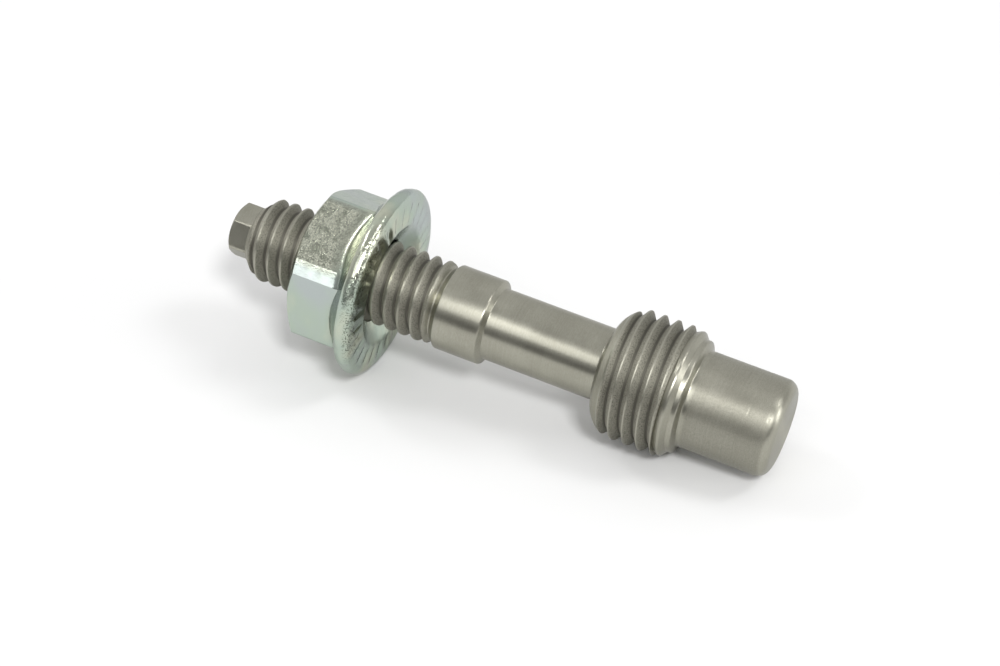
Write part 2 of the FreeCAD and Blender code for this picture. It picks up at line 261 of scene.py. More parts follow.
@dataclass(frozen=True)
class ThreadForm:
    """A right-hand thread.

    Attributes:
        crest_radius: radius of the crests.
        depth: depth of the groove.
        pitch: advance for each turn.
        top_crest: station of one crest.
        crest_share: half the crest's width, as a share of the pitch.
        root_place: middle of the root, as a share of the pitch past the crest.
        root_share: half the root's width, as a share of the pitch.
        easing: 0 for straight flanks to 1 for flanks that round over at both ends.
        steps: rows for each pitch.
        top_turn: turn at which the station top_crest is measured.
    """

    crest_radius: float
    depth: float
    pitch: float
    top_crest: float
    crest_share: float
    root_place: float
    root_share: float
    easing: float
    steps: int
    top_turn: float = -43.1

    def crest_at(self, turn: float) -> float:
        """Station of a crest at a turn: it moves on by one pitch for each full turn."""
        return self.top_crest + self.pitch * (turn - self.top_turn) / FULL_TURN

    def groove(self, along: np.ndarray, turn: np.ndarray) -> np.ndarray:
        """Share of the groove's depth, from 0 on the crest to 1 at the root.

        The distance past the last crest, over the pitch, gives the share down the flank that faces the
        nose, and what is left to the next crest the share down the other flank. The smaller of them
        counts, and a smooth step eases it by the easing's share.

        Args:
            along: stations.
            turn: turns that belong to them, in degrees.

        Returns:
            The share for each point.
        """
        phase = (along - self.crest_at(0.0)) / self.pitch - turn / FULL_TURN
        past = phase - np.floor(phase)
        edges = self.crest_share + self.root_share
        down = (past - self.crest_share) / (self.root_place - edges)
        back = (1 - past - self.crest_share) / (1 - self.root_place - edges)
        share = unit(np.minimum(down, back))
        return self.easing * smooth(share) + (1 - self.easing) * share

    def strip(
        self, low: float, high: float, envelope: np.ndarray, fade: Band, turn: np.ndarray
    ) -> Strip:
        """The threaded surface between two stations.

        Its rows follow the helix: each moves on by one pitch in a turn, and rows that would run past an end
        are pressed onto it. The radius is the smaller of the envelope and the thread's own form.

        Args:
            low: first station.
            high: last station.
            envelope: (along, radius) rows of the outer form.
            fade: stations between which the groove dies out.
            turn: turn of each column.

        Returns:
            The strip, which meets itself one pitch further on.
        """
        crest = self.crest_at(float(turn[0]))
        before = math.ceil((crest - low) / self.pitch) + 1
        start = crest - before * self.pitch
        count = math.ceil((high - start) / self.pitch) * self.steps
        rows = start + np.arange(count + 1) * self.pitch / self.steps
        advance = np.arange(len(turn)) / len(turn) * self.pitch
        along = np.clip(rows[:, None] + advance[None], low, high)
        groove = self.groove(along, np.broadcast_to(turn, along.shape))
        groove = groove * unit((fade[1] - along) / (fade[1] - fade[0]))
        outer = np.interp(along, envelope[:, 0], envelope[:, 1])
        radius = np.minimum(outer, self.crest_radius - self.depth * groove)
        return Strip(along, radius, groove, self.steps)


@dataclass
class PieceMesh:
    """Gathers strips that share their columns into one closed mesh.

    Attributes:
        axis: the stud's axis.
        turn: turn of each column, in degrees.
        strips: the strips in order.
    """

    axis: StudAxis
    turn: np.ndarray
    strips: list[Strip] = field(default_factory=list)

    def add(self, strip: Strip) -> None:
        """Add a strip whose first row is the last one's last row."""
        self.strips.append(strip)

    def faces(self, strip: Strip, first: int) -> np.ndarray:
        """Quads of a strip: each joins a point to the next row and the next column.

        Args:
            strip: the strip.
            first: index of its first vertex.

        Returns:
            Rows of four vertex indices.
        """
        rows, columns = strip.along.shape
        row, column = np.meshgrid(np.arange(rows), np.arange(columns + 1), indexing="ij")
        wrapped = np.where(column == columns, np.minimum(row + strip.seam_shift, rows - 1), row)
        index = first + wrapped * columns + column % columns
        quads = np.stack([index[:-1, :-1], index[:-1, 1:], index[1:, 1:], index[1:, :-1]], axis=-1)
        return quads.reshape(-1, 4)

    def build(self, name: str, sharp_angle: float) -> bpy.types.Object:
        """Make the object: vertices, quads, the profile and groove layers and the map round the axis.

        Args:
            name: the object's name.
            sharp_angle: edges that turn by more than this stay sharp, in degrees.

        Returns:
            The finished object.
        """
        points, quads, profile, groove = [], [], [], []
        first = 0
        travelled = 0.0
        for strip in self.strips:
            turn = np.broadcast_to(self.turn, strip.along.shape)
            points.append(self.axis.points(strip.along, strip.radius, turn).reshape(-1, 3))
            quads.append(self.faces(strip, first))
            middle = strip.along.shape[1] // 2
            step = np.hypot(np.diff(strip.along[:, middle]), np.diff(strip.radius[:, middle]))
            if strip.seam_shift:
                distance = travelled + strip.along - strip.along.min()
            else:
                distance = travelled + np.concatenate([[0.0], np.cumsum(step)])[:, None]
                distance = np.broadcast_to(distance, strip.along.shape)
            travelled = float(distance.max())
            profile.append(distance.ravel())
            groove.append(strip.groove.ravel())
            first += strip.along.size
        mesh = bpy.data.meshes.new(name)
        mesh.from_pydata(np.concatenate(points).tolist(), [], np.concatenate(quads).tolist())
        for layer, values in ((PROFILE_LAYER, profile), (GROOVE_LAYER, groove)):
            attribute = mesh.attributes.new(layer, "FLOAT", "POINT")
            attribute.data.foreach_set("value", np.concatenate(values).astype(np.float32))
        self.add_map(mesh, np.concatenate(profile))
        tidy_mesh(mesh)
        mesh.shade_smooth()
        mesh.set_sharp_from_angle(angle=math.radians(sharp_angle))
        return linked(name, mesh)

    def add_map(self, mesh: bpy.types.Mesh, profile: np.ndarray) -> None:
        """Give the mesh a map: across is the turn about the axis, up is the distance along the profile.

        Args:
            mesh: the mesh, still as gathered.
            profile: distance along the profile of each vertex, in millimetres.
        """
        across = []
        for strip in self.strips:
            rows, columns = strip.along.shape
            corner = np.tile(np.arange(columns), (rows - 1, 1))[..., None] + np.array([0, 1, 1, 0])
            across.append(corner.reshape(-1) / columns)
        loops = np.empty(len(mesh.loops), np.int32)
        mesh.loops.foreach_get("vertex_index", loops)
        layer = mesh.uv_layers.new(name=MAP_LAYER)
        pairs = np.stack([np.concatenate(across), profile[loops] / FULL_TURN], axis=1)
        layer.data.foreach_set("uv", pairs.astype(np.float32).ravel())


def tidy_mesh(mesh: bpy.types.Mesh) -> None:
    """Merge points that coincide, drop the faces that vanish, and turn all faces outwards.

    Args:
        mesh: the mesh.
    """
    work = bmesh.new()
    work.from_mesh(mesh)
    bmesh.ops.remove_doubles(work, verts=work.verts, dist=MERGE_DISTANCE)
    bmesh.ops.recalc_face_normals(work, faces=work.faces)
    work.to_mesh(mesh)
    work.free()


@dataclass
class TurnedStud:
    """The stud, turned from one bar, with its hexagonal drive tip and both threads.

    A corner of an outline is its station, its radius and its rounding. A row of the faint ring on the nose
    is its station and its depth.
    """

    columns: int = 180
    sharp_angle: float = 30.0
    tip_roll: float = 35.5
    tip_flats: float = 3.5
    tip_corner_round: float = 0.25
    tip_start: float = 0.03
    tip_end_radius: float = 1.66
    tip_chamfer: float = 35.0
    tip_end: float = 1.52
    root_radius: float = 1.98
    small_thread: ThreadForm = ThreadForm(
        crest_radius=2.975, depth=0.54, pitch=1.0, top_crest=2.44,
        crest_share=1 / 18, root_place=9 / 18, root_share=1 / 18, easing=0.3, steps=18,
    )
    lead_end: float = 2.5
    runout_start: float = 15.65
    small_end: float = 15.95
    small_fade: Band = (15.25, 15.85)
    neck_radius: float = 2.6
    neck_end: float = 16.04
    collar_radius: float = 3.025
    collar_start: float = 16.45
    collar_end: float = 19.66
    shank_start: float = 19.94
    shank_radius: float = 2.55
    big_thread: ThreadForm = ThreadForm(
        crest_radius=4.55, depth=0.6, pitch=1.0, top_crest=29.785,
        crest_share=1 / 24, root_place=12 / 24, root_share=1 / 24, easing=0.0, steps=24,
    )
    shoulder: float = 28.2
    shoulder_length: float = 1.7
    shoulder_power: float = 1.62
    foot_points: int = 10
    curve_points: int = 24
    big_start: float = 28.62
    big_end: float = 33.24
    big_fade: Band = (33.1, 33.6)
    land_start_radius: float = 4.24
    land: tuple[Corner, ...] = (
        (33.26, 4.26, 0.02), (33.6, 4.42, 0.1), (33.72, 4.38, 0.12), (34.02, 3.99, 0.06), (34.36, 3.97, 0.14),
    )
    nose_radius: float = 3.4
    nose_start: float = 34.58
    nose_rows: Pair = (34.75, 39.95)
    ring: tuple[Pair, ...] = ((38.66, 0.0), (38.7, 0.0), (38.76, 0.015), (38.86, 0.0), (38.9, 0.0))
    nose_end: float = 40.87
    nose_round: float = 0.85

    def build(self, axis: StudAxis) -> bpy.types.Object:
        """Make the stud's mesh from tip to nose and dress it.

        Args:
            axis: the stud's axis.

        Returns:
            The object.
        """
        mesh = PieceMesh(axis, self.turn)
        mesh.add(self.tip())
        mesh.add(self.small_thread_strip())
        mesh.add(self.shank())
        thread = self.big_thread_strip()
        mesh.add(thread)
        mesh.add(self.nose(thread))
        made = mesh.build("turned_stud", self.sharp_angle)
        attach(made, "stud")
        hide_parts("stud")
        made.data.materials.append(StainlessFinish().material())
        return made

    @property
    def turn(self) -> np.ndarray:
        """Turn of each column."""
        return self.tip_roll + np.arange(self.columns) * FULL_TURN / self.columns

    @property
    def hexagon(self) -> np.ndarray:
        """Distance from the axis to the tip's hexagon at each column."""
        return hexagon_radius(self.turn, self.tip_roll, self.tip_flats, self.tip_corner_round)

    def tip(self) -> Strip:
        """The hexagonal tip: a flat end, a cone that cuts its corners, the flats, and the lead's face.

        Returns:
            The strip.
        """
        hexagon = self.hexagon
        none = np.zeros_like(hexagon)
        flat_end = none + self.tip_end_radius
        start = none + self.tip_start
        chamfer_end = start + (hexagon - self.tip_end_radius) * math.tan(math.radians(self.tip_chamfer))
        last = none + self.tip_end
        outer = np.maximum(hexagon, self.root_radius)
        counts = [3, 4, 8, 2]
        radius = blended_rows([none, flat_end, hexagon, hexagon, outer], counts)
        along = blended_rows([start, start, chamfer_end, last, last], counts)
        return Strip.plain(along, radius, self.columns)

    def small_thread_strip(self) -> Strip:
        """The small thread with its tapered start and its runout, nowhere below the tip's hexagon.

        Returns:
            The strip.
        """
        crest = self.small_thread.crest_radius
        envelope = profile_path([
            (self.tip_end, self.root_radius, 0.0),
            (self.lead_end, crest, 0.3),
            (self.runout_start, crest, 0.1),
            (self.small_end, self.neck_radius, 0.0),
        ])
        made = self.small_thread.strip(self.tip_end, self.small_end, envelope, self.small_fade, self.turn)
        made.radius[:] = np.maximum(made.radius, self.hexagon[None])
        return made

    def shank(self) -> Strip:
        """The neck, the collar, the slim shank and the foot of the shoulder's rounding.

        Returns:
            The strip.
        """
        share = np.linspace(0.0, 1.0, self.foot_points)
        foot = self.shoulder_curve(share**2 * (self.big_start - self.shoulder) + self.shoulder)
        path = profile_path([
            (self.small_end, self.neck_radius, 0.0),
            (self.neck_end, self.neck_radius, 0.04),
            (self.collar_start, self.collar_radius, 0.12),
            (self.collar_end, self.collar_radius, 0.16),
            (self.shank_start, self.shank_radius, 0.06),
            (self.shoulder, self.shank_radius, 0.15),
            (self.shoulder, foot[0, 1], 0.0),
        ])
        path = np.concatenate([path, foot[1:]])
        return Strip.plain(path[:, 0], path[:, 1], self.columns)

    def shoulder_curve(self, along: np.ndarray) -> np.ndarray:
        """The shoulder's outline, a superellipse from its foot up to the large thread's crests.

        With t the share of its length still to go, the height is (1 - t to the power p) to the power 1 / p.

        Args:
            along: stations.

        Returns:
            (along, radius) rows.
        """
        rise = self.shoulder_length
        to_go = 1 - unit((along - self.shoulder) / rise)
        height = (1 - to_go**self.shoulder_power) ** (1 / self.shoulder_power)
        return np.stack([along, self.big_thread.crest_radius - rise + rise * height], axis=1)

    def big_thread_strip(self) -> Strip:
        """The large thread, whose first turns lie on the shoulder's outline.

        Returns:
            The strip.
        """
        stations = np.linspace(self.big_start, self.shoulder + self.shoulder_length, self.curve_points)
        end = np.array([(self.big_end, self.big_thread.crest_radius)])
        envelope = np.concatenate([self.shoulder_curve(stations), end])
        return self.big_thread.strip(self.big_start, self.big_end, envelope, self.big_fade, self.turn)

    def nose(self, thread: Strip) -> Strip:
        """The land, the bead, the dog nose and its flat end, as one profile that follows the thread's end.

        Args:
            thread: the large thread's strip.

        Returns:
            The strip, whose first row is the thread's last one.
        """
        radius = self.nose_radius
        first_row, last_row = self.nose_rows
        path = profile_path([
            (self.big_end, self.land_start_radius, 0.0),
            *self.land,
            (self.nose_start, radius, 0.1),
            (first_row, radius, 0.0),
            *((station, radius - depth, 0.0) for station, depth in self.ring),
            (last_row, radius, 0.0),
            (self.nose_end, radius, self.nose_round),
            (self.nose_end, 0.0, 0.0),
        ], 9)
        made = Strip.plain(path[:, 0], path[:, 1], self.columns)
        return Strip(
            np.concatenate([thread.along[-1:], made.along]),
            np.concatenate([thread.radius[-1:], made.radius]),
            np.concatenate([thread.groove[-1:], made.groove]),
        )


@dataclass
class FlangeNut:
    """The forged hexagon nut with its conical flange, rolled rim and serrated bearing face.

    Its stations are counted from its own end. A wave of the dents is its height, its number round the axis,
    how it runs with the radius and along the axis, and its start.
    """

    columns: int = 504
    sharp_angle: float = 32.0
    station: float = 6.32
    length: float = 5.68
    flats: float = 10.0
    corner_turn: float = 0.4
    corner_round: float = 0.35
    pressed_turn: float = 50.0
    pressed_reach: float = 5.41
    end_radius: float = 4.75
    end_chamfer: float = 30.0
    edge: float = 0.12
    flange_slope: float = 51.0
    cone_radius: float = 4.9
    cone_station: float = 3.309
    rim_round: float = 0.6
    rim_station: float = 4.973
    rim_middle: float = 6.18
    crown_slope: float = 12.0
    teeth: int = 28
    tooth_depth: float = 0.1
    tooth_land: float = 0.16
    tooth_ramp: float = 0.66
    tooth_turn: float = 3.0
    tooth_start: float = 0.1
    tooth_rise: float = 0.7
    tooth_rest: float = 0.2
    tooth_fall: float = 0.8
    recess_radius: float = 4.4
    recess_slope: float = 30.0
    bore_radius: float = 2.995
    bore_lead: float = 0.3
    dent: float = 0.03
    dent_start: float = 5.9
    dent_fade: float = 0.5
    dent_level: float = 0.45
    dent_swing: float = 0.32
    waves: tuple[tuple[float, float, float, float, float], ...] = (
        (1.0, 9, 1.1, 0.0, 0.0),
        (1.0, 16, -2.3, 0.0, 1.7),
        (0.7, 23, 0.0, 3.0, 0.6),
        (0.5, 41, 0.0, -4.0, 0.0),
    )

    def build(self, axis: StudAxis) -> bpy.types.Object:
        """Make the nut's mesh and dress it.

        Args:
            axis: the stud's axis, which the nut shares.

        Returns:
            The object.
        """
        mesh = PieceMesh(axis, self.turn)
        along, radius = self.outside()
        face = Strip.plain(*self.inside(), self.columns)
        along = np.concatenate([along, face.along[1:] - self.gaps(face.radius[1:])])
        radius = np.concatenate([radius, face.radius[1:]])
        mesh.add(Strip.plain(self.station + along, self.forged(along, radius), self.columns))
        made = mesh.build("serrated_nut", self.sharp_angle)
        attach(made, "nut")
        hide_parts("flange_nut")
        made.data.materials.append(ZincFinish().material())
        return made

    @property
    def turn(self) -> np.ndarray:
        """Turn of each column."""
        return self.corner_turn + np.arange(self.columns) * FULL_TURN / self.columns

    def rim_arc(self, angle: np.ndarray) -> tuple[np.ndarray, np.ndarray]:
        """Stations and radii on the rim's arc at angles in degrees, where 0 is its widest ring."""
        turned = np.radians(angle)
        return (
            self.rim_station + self.rim_round * np.sin(turned),
            self.rim_middle + self.rim_round * np.cos(turned),
        )

    def outside(self) -> tuple[np.ndarray, np.ndarray]:
        """Rows from the bore's mouth over the hexagon and the flange's cone to the rim's widest ring.

        Returns:
            The stations and the radii for each row and column.
        """
        hexagon = hexagon_radius(self.turn, self.corner_turn, self.flats, self.corner_round)
        from_pressed = np.radians(np.clip(self.turn - self.pressed_turn, -HEXAGON_PITCH, HEXAGON_PITCH))
        hexagon = np.minimum(hexagon, self.pressed_reach / np.cos(from_pressed))
        none = np.zeros_like(hexagon)
        chamfer_end = (hexagon - self.end_radius) * math.tan(math.radians(self.end_chamfer))
        slope = math.radians(self.flange_slope)
        foot = self.cone_station + (hexagon - self.cone_radius) / math.tan(slope)
        arc_along, arc_radius = self.rim_arc(np.linspace(-self.flange_slope, 0.0, 10))
        counts = [3, 4, 2, 10, 2, 10]
        radius = blended_rows([
            none + self.bore_radius + self.bore_lead, none + self.end_radius, hexagon, hexagon, hexagon,
            hexagon + self.edge * math.sin(slope), none + arc_radius[0],
        ], counts)
        along = blended_rows([
            none, none, chamfer_end, chamfer_end + self.edge, foot - self.edge,
            foot + self.edge * math.cos(slope), none + arc_along[0],
        ], counts)
        along = np.concatenate([along, arc_along[1:, None] + none])
        return along, np.concatenate([radius, arc_radius[1:, None] + none])

    def inside(self) -> tuple[np.ndarray, np.ndarray]:
        """The crown from the rim's widest ring, the bearing face, the recess, the bore and its lead.

        The crown is the rim's arc until its slope has fallen to the crown's slope, and then a parabola
        that flattens out on the bearing face.

        Returns:
            The stations and the radii of the profile's points.
        """
        face = self.length
        floor = face - (self.recess_radius - self.bore_radius) * math.tan(math.radians(self.recess_slope))
        arc_along, arc_radius = self.rim_arc(np.linspace(0.0, 90.0 - self.crown_slope, 18))
        rise = face - arc_along[-1]
        reach = 2 * rise / math.tan(math.radians(self.crown_slope))
        share = np.linspace(0.0, 1.0, 9)[1:-1]
        crown = np.stack([
            np.append(arc_along, arc_along[-1] + rise * (1 - (1 - share) ** 2)),
            np.append(arc_radius, arc_radius[-1] - reach * share),
        ], axis=1)
        marks = np.array([
            (face, arc_radius[-1] - reach),
            (face, self.recess_radius),
            (floor, self.bore_radius),
            (self.bore_lead, self.bore_radius),
            (0.0, self.bore_radius + self.bore_lead),
        ])
        rows = np.concatenate([crown, blended_rows(list(marks), [8, 8, 10, 2])])
        return rows[:, 0], rows[:, 1]

    def gaps(self, radius: np.ndarray) -> np.ndarray:
        """How deep the serrations' gaps are at each point.

        Round the axis a tooth has a flat land, a gentle ramp down and a steep flank back up, eased at both
        ends. The depth grows from the recess outwards and dies away towards the rim.

        Args:
            radius: radius for each row and column.

        Returns:
            The depth for each row and column.
        """
        share = ((self.turn - self.corner_turn - self.tooth_turn) * self.teeth / FULL_TURN) % 1.0
        ramp_end = self.tooth_land + (1 - self.tooth_land) * self.tooth_ramp
        down = (share - self.tooth_land) / (ramp_end - self.tooth_land)
        back = (1.0 - share) / (1.0 - ramp_end)
        gap = smooth(unit(np.minimum(down, back)))
        inner = unit((radius - self.recess_radius + self.tooth_start) / self.tooth_rise)
        outer = unit((self.rim_middle + self.tooth_rest - radius) / self.tooth_fall)
        return self.tooth_depth * inner * outer * gap[None]

    def forged(self, along: np.ndarray, radius: np.ndarray) -> np.ndarray:
        """Press shallow dents into the rim and the cone, never outwards.

        The depth follows a sum of sines of the turn, the radius and the station, where that is above
        nothing, and it fades away on the hexagon and in the recess.

        Args:
            along: station for each row and column.
            radius: radius for each row and column.

        Returns:
            The pressed radius for each row and column.
        """
        angle = np.radians(self.turn)[None]
        wave = sum(
            height * np.sin(number * angle + outwards * radius + onwards * along + start)
            for height, number, outwards, onwards, start in self.waves
        )
        share = unit((radius - self.dent_start) / self.dent_fade)
        return radius - self.dent * share * np.maximum(self.dent_level + self.dent_swing * wave, 0.0)


class Nodes:
    """A node tree with short ways to add and join nodes."""

    def __init__(self, tree: bpy.types.NodeTree) -> None:
        """Start with the tree emptied."""
        self.tree = tree
        self.tree.nodes.clear()

    def add(self, kind: str, **settings: object) -> bpy.types.Node:
        """Add a node.

        Args:
            kind: its type.
            settings: its properties.

        Returns:
            The node.
        """
        node = self.tree.nodes.new(kind)
        for key, value in settings.items():
            setattr(node, key, value)
        return node

    def join(self, source: Socket, target: Socket) -> None:
        """Link an output to an input."""
        self.tree.links.new(source, target)

    def place(self, kind: str = "Object") -> Socket:
        """The position in metres, or another of the coordinates."""
        return self.add("ShaderNodeTexCoord").outputs[kind]

    def layer(self, name: str) -> Socket:
        """The value of a layer of the mesh."""
        return self.add("ShaderNodeAttribute", attribute_name=name).outputs["Fac"]

    def noise(self, source: Socket, form: Pair, flat: bool = False) -> Socket:
        """Noise over a position, or over one number if flat.

        Args:
            source: the position or number.
            form: how many waves for each unit, and the number of finer layers.
            flat: whether the source is one number.

        Returns:
            The noise's value.
        """
        node = self.add("ShaderNodeTexNoise", noise_dimensions="1D" if flat else "3D")
        node.inputs["Scale"].default_value, node.inputs["Detail"].default_value = form
        self.join(source, node.inputs["W" if flat else "Vector"])
        return node.outputs["Fac"]

    def stretched(self, place: Socket, scales: Pair) -> Socket:
        """A position measured along the stud's axis and across it, each at its own scale.

        Args:
            place: the position in metres.
            scales: scale along the axis, and in both directions across it.

        Returns:
            The scaled position.
        """
        along, across = scales
        node = self.add("ShaderNodeMapping", vector_type="TEXTURE")
        node.inputs["Rotation"].default_value = (0.0, StudAxis.from_frame().dip(), 0.0)
        node.inputs["Scale"].default_value = (1 / along, 1 / across, 1 / across)
        self.join(place, node.inputs["Vector"])
        return node.outputs["Vector"]

    def ramp(self, source: Socket, places: tuple[float, ...], colours: tuple[Colour, ...]) -> Socket:
        """Colours along a value.

        Args:
            source: the value.
            places: the value that each colour stands at.
            colours: the colours.

        Returns:
            The colour.
        """
        node = self.add("ShaderNodeValToRGB")
        elements = node.color_ramp.elements
        while len(elements) < len(places):
            elements.new(0.5)
        for element, place, colour in zip(elements, places, colours):
            element.position = place
            element.color = (*colour, 1.0)
        self.join(source, node.inputs["Fac"])
        return node.outputs["Color"]

    def spread(self, source: Socket, ranges: Spread) -> Socket:
        """Map one range of a value onto another, clamped.

        Args:
            source: the value.
            ranges: both ends of its range, and what they become.

        Returns:
            The mapped value.
        """
        node = self.add("ShaderNodeMapRange")
        for name, value in zip(("From Min", "From Max", "To Min", "To Max"), ranges):
            node.inputs[name].default_value = value
        self.join(source, node.inputs["Value"])
        return node.outputs["Result"]

    def window(self, source: Socket, rise: Band, fall: Band) -> Socket:
        """From 0 to 1 over the first range of a value, and back to 0 over the second."""
        return self.times(self.spread(source, (*rise, 0.0, 1.0)), self.spread(source, (*fall, 1.0, 0.0)))

    def between(self, source: Socket, band: Band) -> Socket:
        """1 within a band of a value and 0 outside it, with short fades."""
        low, high = band
        return self.window(source, (low, low + BAND_FADE), (high - BAND_FADE, high))

    def mixed(self, share: Socket, first: Socket, second: Socket | Colour) -> Socket:
        """Mix two colours by a share.

        Args:
            share: how much of the second colour counts.
            first: one colour.
            second: the other colour.

        Returns:
            The mixed colour.
        """
        node = self.add("ShaderNodeMix", data_type="RGBA")
        self.join(share, node.inputs["Factor"])
        self.join(first, node.inputs[MIX_FIRST])
        if isinstance(second, tuple):
            node.inputs[MIX_SECOND].default_value = (*second, 1.0)
        else:
            self.join(second, node.inputs[MIX_SECOND])
        return node.outputs[MIX_RESULT]

    def maths(self, kind: str, first: Socket, second: Socket | float) -> Socket:
        """One step of arithmetic on two values.

        Args:
            kind: the step's name.
            first: one value.
            second: the other value.

        Returns:
            The result.
        """
        node = self.add("ShaderNodeMath", operation=kind)
        self.join(first, node.inputs[0])
        if isinstance(second, (int, float)):
            node.inputs[1].default_value = second
        else:
            self.join(second, node.inputs[1])
        return node.outputs[0]

    def times(self, first: Socket, second: Socket | float) -> Socket:
        """The product of two values."""
        return self.maths("MULTIPLY", first, second)

    def plus(self, first: Socket, second: Socket | float) -> Socket:
        """The sum of two values."""
        return self.maths("ADD", first, second)

    def bump(self, height: Socket, form: Pair, below: Socket | None = None) -> Socket:
        """A bump from a height, on top of another.

        Args:
            height: the height, from 0 to 1.
            form: how much of it counts, and its full height in metres.
            below: the normal that it starts from.

        Returns:
            The new normal.
        """
        node = self.add("ShaderNodeBump")
        node.inputs["Strength"].default_value, node.inputs["Distance"].default_value = form
        self.join(height, node.inputs["Height"])
        if below is not None:
            self.join(below, node.inputs["Normal"])
        return node.outputs["Normal"]


class MaterialNodes(Nodes):
    """The node tree of a new material, with its output and its shader."""

    def __init__(self, name: str) -> None:
        """Make the material.

        Args:
            name: its name.
        """
        self.material = bpy.data.materials.new(name)
        self.material.use_nodes = True
        super().__init__(self.material.node_tree)
        output = self.add("ShaderNodeOutputMaterial")
        self.shader = self.add("ShaderNodeBsdfPrincipled")
        self.join(self.shader.outputs["BSDF"], output.inputs["Surface"])

    def feed(self, name: str, source: Socket) -> None:
        """Link an output to an input of the shader."""
        self.join(source, self.shader.inputs[name])


@dataclass(frozen=True)
class StainlessFinish:
    """Turned stainless steel: fine rings round the axis, a frosted grain, grainy brown flanks and painted
    shade along the threads' roots.

    A noise is its waves for each unit and its number of finer layers, a bump its strength and its height in
    metres, and four numbers spread the first two onto the last two. Bands are distances along the profile;
    dashes are a noise stretched along the axis and across it. The shares of the tone are those of the rings,
    the cloud and the dashes.
    """

    light: Colour = (0.40, 0.392, 0.33)
    dark: Colour = (0.33, 0.322, 0.267)
    groove: Colour = (0.37, 0.36, 0.305)
    # Near-black: grain pits on the flanks and painted shade along the threads' roots; the worn nose leans to
    # it.
    pit_and_root_shade: Colour = (0.11, 0.105, 0.088)
    worn: Band = (38.5, 44.2)
    small_thread: Band = (3.4, 17.9)
    big_thread: Band = (32.1, 36.7)
    rings: Pair = (7.0, 6.0)
    dash_stretch: Pair = (17000.0, 5500.0)
    dashes: Pair = (1.0, 3.0)
    cloud: Pair = (420.0, 5.0)
    grain: Pair = (11000.0, 3.0)
    frost: Pair = (19000.0, 2.0)
    tone_shares: tuple[float, float, float] = (0.15, 0.5, 0.35)
    tone_places: Pair = (0.4, 0.6)
    flank_share: Spread = (0.0, 0.12, 0.1, 0.9)
    pit_share: Spread = (0.34, 0.52, 0.7, 0.0)
    # Painted shade: how deep in the groove the threads' roots turn towards the near-black colour.
    root_share: Spread = (0.78, 0.98, 0.0, 0.75)
    worn_share: float = 0.24
    groove_roughness: Spread = (0.0, 0.12, 0.31, 0.59)
    cloud_roughness: Spread = (0.3, 0.7, -0.01, 0.06)
    frost_roughness: Spread = (0.36, 0.62, 0.34, 0.0)
    thread_roughness: float = 0.06
    dash_bump: Pair = (0.3, 0.00001)
    ring_bump: Pair = (0.1, 0.00002)
    grain_bump: Pair = (0.5, 0.00003)
    grain_height: Spread = (0.0, 1.0, 0.15, 1.0)
    metal: Spread = (0.0, 1.0, 1.0, 0.8)
    anisotropy: float = 0.65
    quarter_turn: float = 0.25
    edge: float = 0.72

    def material(self) -> bpy.types.Material:
        """Build the material.

        Returns:
            The material.
        """
        nodes = MaterialNodes("turned_stainless")
        place = nodes.place()
        profile = nodes.layer(PROFILE_LAYER)
        groove = nodes.layer(GROOVE_LAYER)
        rings = nodes.noise(profile, self.rings, flat=True)
        dashes = nodes.noise(nodes.stretched(place, self.dash_stretch), self.dashes)
        cloud = nodes.noise(place, self.cloud)
        grain = nodes.noise(place, self.grain)
        ring_share, cloud_share, dash_share = self.tone_shares
        tone = nodes.plus(nodes.times(rings, ring_share), nodes.times(cloud, cloud_share))
        tone = nodes.plus(tone, nodes.times(dashes, dash_share))
        colour = nodes.ramp(tone, self.tone_places, (self.dark, self.light))
        worn = nodes.between(profile, self.worn)
        threaded = nodes.plus(
            nodes.between(profile, self.small_thread), nodes.between(profile, self.big_thread)
        )
        flank = nodes.times(nodes.spread(groove, self.flank_share), threaded)
        colour = nodes.mixed(flank, colour, self.groove)
        pitted = nodes.times(nodes.spread(grain, self.pit_share), flank)
        # Painted shade: thin dark lines along the threads' roots.
        root = nodes.times(nodes.spread(groove, self.root_share), threaded)
        colour = nodes.mixed(nodes.maths("MAXIMUM", pitted, root), colour, self.pit_and_root_shade)
        nodes.feed("Base Color", nodes.mixed(nodes.times(worn, self.worn_share), colour, self.pit_and_root_shade))
        rough = nodes.spread(cloud, self.cloud_roughness)
        rough = nodes.plus(rough, nodes.spread(groove, self.groove_roughness))
        frost = nodes.spread(nodes.noise(place, self.frost), self.frost_roughness)
        rough = nodes.plus(rough, nodes.times(worn, frost))
        nodes.feed("Roughness", nodes.plus(rough, nodes.times(threaded, self.thread_roughness)))
        normal = nodes.bump(dashes, self.dash_bump)
        normal = nodes.bump(rings, self.ring_bump, normal)
        height = nodes.times(grain, nodes.spread(threaded, self.grain_height))
        nodes.feed("Normal", nodes.bump(height, self.grain_bump, normal))
        tangent = nodes.add("ShaderNodeTangent", direction_type="UV_MAP", uv_map=MAP_LAYER)
        nodes.feed("Tangent", tangent.outputs["Tangent"])
        nodes.feed("Metallic", nodes.spread(worn, self.metal))
        nodes.shader.inputs["Specular Tint"].default_value = (self.edge, self.edge, self.edge, 1.0)
        nodes.shader.inputs["Anisotropic"].default_value = self.anisotropy
        nodes.shader.inputs["Anisotropic Rotation"].default_value = self.quarter_turn
        return nodes.material


